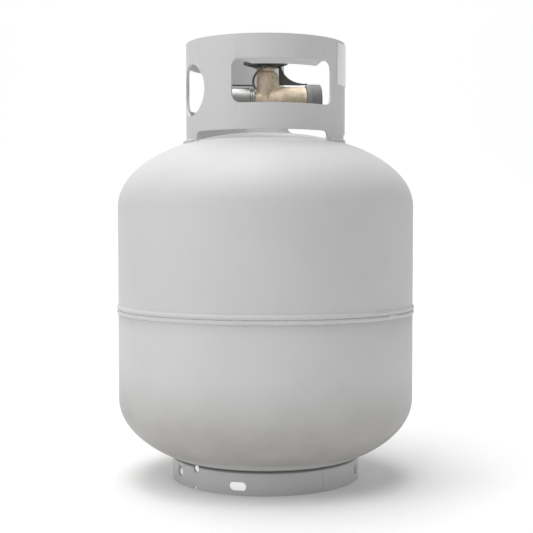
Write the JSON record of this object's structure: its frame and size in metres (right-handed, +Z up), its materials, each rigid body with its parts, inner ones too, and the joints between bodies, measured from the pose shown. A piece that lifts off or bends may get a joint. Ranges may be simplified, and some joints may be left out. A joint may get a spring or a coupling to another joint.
{
  "type": "propane tank",
  "caption": "Portable steel gas cylinder with a domed vessel, foot ring, guard collar with windows, and a brass valve with handwheel and dust cap.",
  "frame": {"origin": "centre of the foot ring's underside, on the vessel's axis", "axes": "+Z up along the vessel's axis, -Y towards the collar's front window, +X to the side the valve outlet points to"},
  "size_m": [0.315, 0.315, 0.454],
  "materials": {
    "painted_steel": "satin light grey powder coat",
    "painted_weld": "rippled weld bead under the same light grey coat",
    "plate_metal": "blank pale satin plate",
    "brass": "forged and dulled brass",
    "nickel_plate": "dull nickel plate",
    "zinc_steel": "zinc plated",
    "black_plastic": "moulded, fine texture",
    "cap_plastic": "moulded and ribbed",
    "rubber": "smooth nitrile",
    "float_plastic": "moulded"
  },
  "bodies": {
    "tank": {"upper_shell": "painted_steel", "lower_shell": "painted_steel", "girth_weld": "painted_weld", "neck_boss": "painted_steel", "boss_weld": "painted_weld", "collar": "painted_steel", "collar_weld_left": "painted_weld", "collar_weld_right": "painted_weld", "collar_weld_gap": "painted_weld", "collar_weld_rear": "painted_weld", "foot_ring": "painted_steel", "foot_ring_weld_right": "painted_weld", "foot_ring_weld_rear": "painted_weld", "foot_ring_weld_left": "painted_weld", "data_plate": "plate_metal", "valve_body": "brass", "bonnet_nut": "brass", "stem_packing": "rubber", "relief_body": "nickel_plate", "relief_spring": "zinc_steel", "outlet_seal": "rubber", "check_spring": "zinc_steel", "cap_tether": "black_plastic", "opd_housing": "brass", "float_pivot_pin": "zinc_steel", "dip_tube": "zinc_steel"},
    "handwheel": {"handwheel": "black_plastic", "handwheel_washer": "zinc_steel", "handwheel_screw": "zinc_steel", "valve_stem": "zinc_steel"},
    "spindle": {"lower_spindle": "brass", "seat_disc": "rubber"},
    "bleeder": {"bleeder_screw": "brass"},
    "relief": {"relief_poppet": "brass"},
    "check": {"check_plunger": "brass"},
    "cap": {"dust_cap": "cap_plastic"},
    "float": {"float_arm": "zinc_steel", "opd_float": "float_plastic"},
    "stop": {"opd_plunger": "float_plastic"}
  },
  "joints": [
    {"name": "handwheel_turn", "type": "hinge", "parent": "tank", "child": "handwheel", "pos_m": [0, 0, 0.4326], "axis": [0, 0, 1], "range_deg": [0, 720]},
    {"name": "spindle_lift", "type": "slide", "parent": "handwheel", "child": "spindle", "axis": [0, 0, 1], "range_m": [0, 0.004]},
    {"name": "bleeder_turn", "type": "hinge", "parent": "tank", "child": "bleeder", "pos_m": [0, 0, 0.407], "axis": [-0.1392, 0.9903, 0], "range_deg": [0, 360]},
    {"name": "relief_lift", "type": "slide", "parent": "tank", "child": "relief", "axis": [-0.9903, -0.1392, 0], "range_m": [0, 0.0025], "stiffness_N_per_m": 400, "springref_m": -0.003, "deforming": ["relief_spring"]},
    {"name": "check_push", "type": "slide", "parent": "tank", "child": "check", "axis": [-0.9903, -0.1392, 0], "range_m": [0, 0.004], "stiffness_N_per_m": 200, "springref_m": -0.003, "deforming": ["check_spring"]},
    {"name": "cap_pull", "type": "slide", "parent": "tank", "child": "cap", "axis": [0.9903, 0.1392, 0], "range_m": [0, 0.018], "deforming": ["cap_tether"]},
    {"name": "float_swing", "type": "hinge", "parent": "tank", "child": "float", "pos_m": [0, 0, 0.308], "axis": [0, -1, 0], "range_deg": [0, 80]},
    {"name": "opd_stop", "type": "slide", "parent": "tank", "child": "stop", "axis": [0, 0, 1], "range_m": [0, 0.006]}
  ],
  "couplings": [
    {"joint": "spindle_lift", "follows": "handwheel_turn", "m_per_rad": 0.000318},
    {"joint": "opd_stop", "follows": "float_swing", "m_per_rad": 0.0042}
  ]
}
